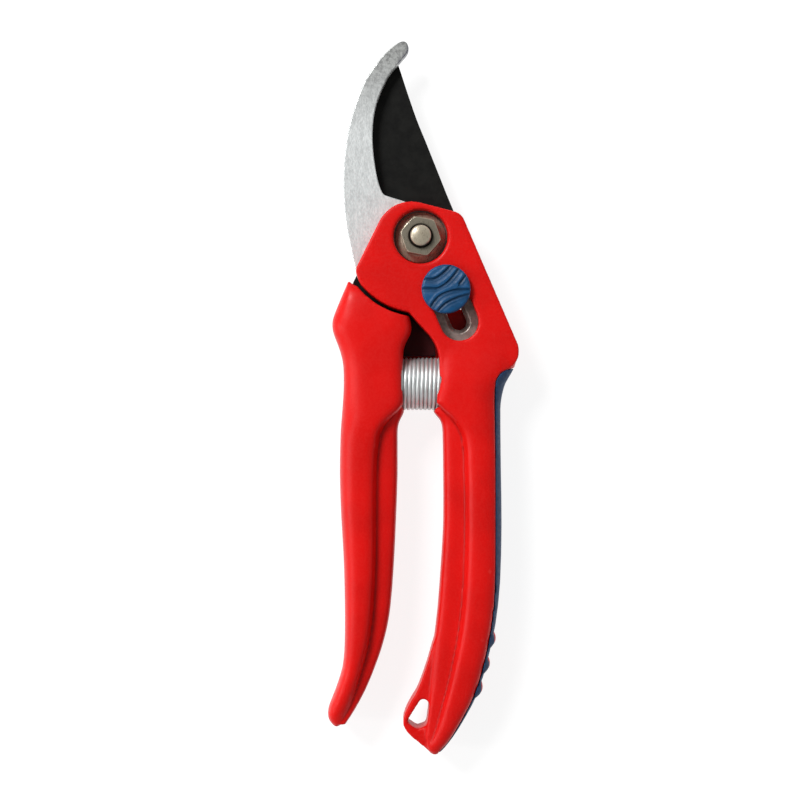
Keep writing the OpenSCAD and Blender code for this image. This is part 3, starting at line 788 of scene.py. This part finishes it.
def room(strength):
    """A white room whose ceiling is dimmer than its walls."""
    world = bpy.data.worlds.new("room")
    world.use_nodes = True
    nodes, links = world.node_tree.nodes, world.node_tree.links
    where = nodes.new("ShaderNodeTexCoord")
    split = nodes.new("ShaderNodeSeparateXYZ")
    ramp = nodes.new("ShaderNodeMapRange")
    links.new(where.outputs["Generated"], split.inputs[0])
    links.new(split.outputs["Z"], ramp.inputs["Value"])
    ramp.inputs["From Min"].default_value = 0.1
    ramp.inputs["To Min"].default_value = strength
    ramp.inputs["To Max"].default_value = strength * 0.35
    links.new(ramp.outputs[0], nodes["Background"].inputs["Strength"])
    nodes["Background"].inputs["Color"].default_value = (1, 1, 1, 1)
    return world


class SHEARS_OT_stage(bpy.types.Operator):
    """Lays the pale floor and sets the lights and the camera"""

    bl_idname = "shears.stage"
    bl_label = "Stage"

    def execute(self, context):
        look = context.scene.shears
        scene = context.scene
        half, drop = 1.5, 0.3 * MM
        floor = skin("floor", [(-half, -half, -drop), (half, -half, -drop), (half, half, -drop),
                               (-half, half, -drop)], [(0, 1, 2, 3)])
        f = Finish("pale_floor", roughness=0.9, specular_ior_level=0.1)
        f.set("Base Color", f.mix(f.noise(40, 2), (0.2, 0.2, 0.2), (0.22, 0.22, 0.22)))
        f.shader.inputs["Emission Color"].default_value = (1, 1, 1, 1)
        f.shader.inputs["Emission Strength"].default_value = look.floor_glow
        take(floor, f.material)

        camera = bpy.data.cameras.new("camera")
        camera.sensor_width = 36
        camera.lens = CAMERA_LENS
        camera.clip_start = 0.01
        eye = bpy.data.objects.new("camera", camera)
        eye.location = CAMERA_PLACE
        scene.collection.objects.link(eye)
        scene.camera = eye

        middle = Vector((0, -45 * MM, 8 * MM))
        for name, where, size, power in (
                ("key", (-0.75, 0.75, 1.1), (0.5, 0.5), look.key),
                ("strip", (-0.9, -0.1, 0.5), (0.12, 0.9), look.key * 0.16)):
            lamp = bpy.data.lights.new(name, "AREA")
            lamp.shape = "RECTANGLE"
            lamp.size, lamp.size_y = size
            lamp.energy = power
            obj = bpy.data.objects.new(name, lamp)
            obj.location = where
            obj.rotation_euler = (middle - Vector(where)).to_track_quat("-Z", "Y").to_euler()
            scene.collection.objects.link(obj)
        scene.world = room(look.ambient)
        scene.view_settings.view_transform = "Standard"
        return {"FINISHED"}


class SHEARS_PT_panel(bpy.types.Panel):
    """Lists the settings and the pieces"""

    bl_label = "Pruning shears"
    bl_idname = "SHEARS_PT_panel"
    bl_space_type = "VIEW_3D"
    bl_region_type = "UI"
    bl_category = "Shears"

    def draw(self, context):
        for key in ShearsLook.__annotations__:
            self.layout.prop(context.scene.shears, key)
        for step in STEPS:
            self.layout.operator(step.bl_idname)


STEPS = (SHEARS_OT_handles, SHEARS_OT_blades, SHEARS_OT_pivot, SHEARS_OT_lock,
         SHEARS_OT_spring, SHEARS_OT_stage)
CLASSES = (ShearsLook, *STEPS, SHEARS_PT_panel)


def register():
    for cls in CLASSES:
        bpy.utils.register_class(cls)
    bpy.types.Scene.shears = PointerProperty(type=ShearsLook)


def unregister():
    del bpy.types.Scene.shears
    for cls in reversed(CLASSES):
        bpy.utils.unregister_class(cls)


def main():
    register()
    for step in STEPS:
        group, name = step.bl_idname.split(".")
        getattr(getattr(bpy.ops, group), name)()


if __name__ == "__main__":
    main()
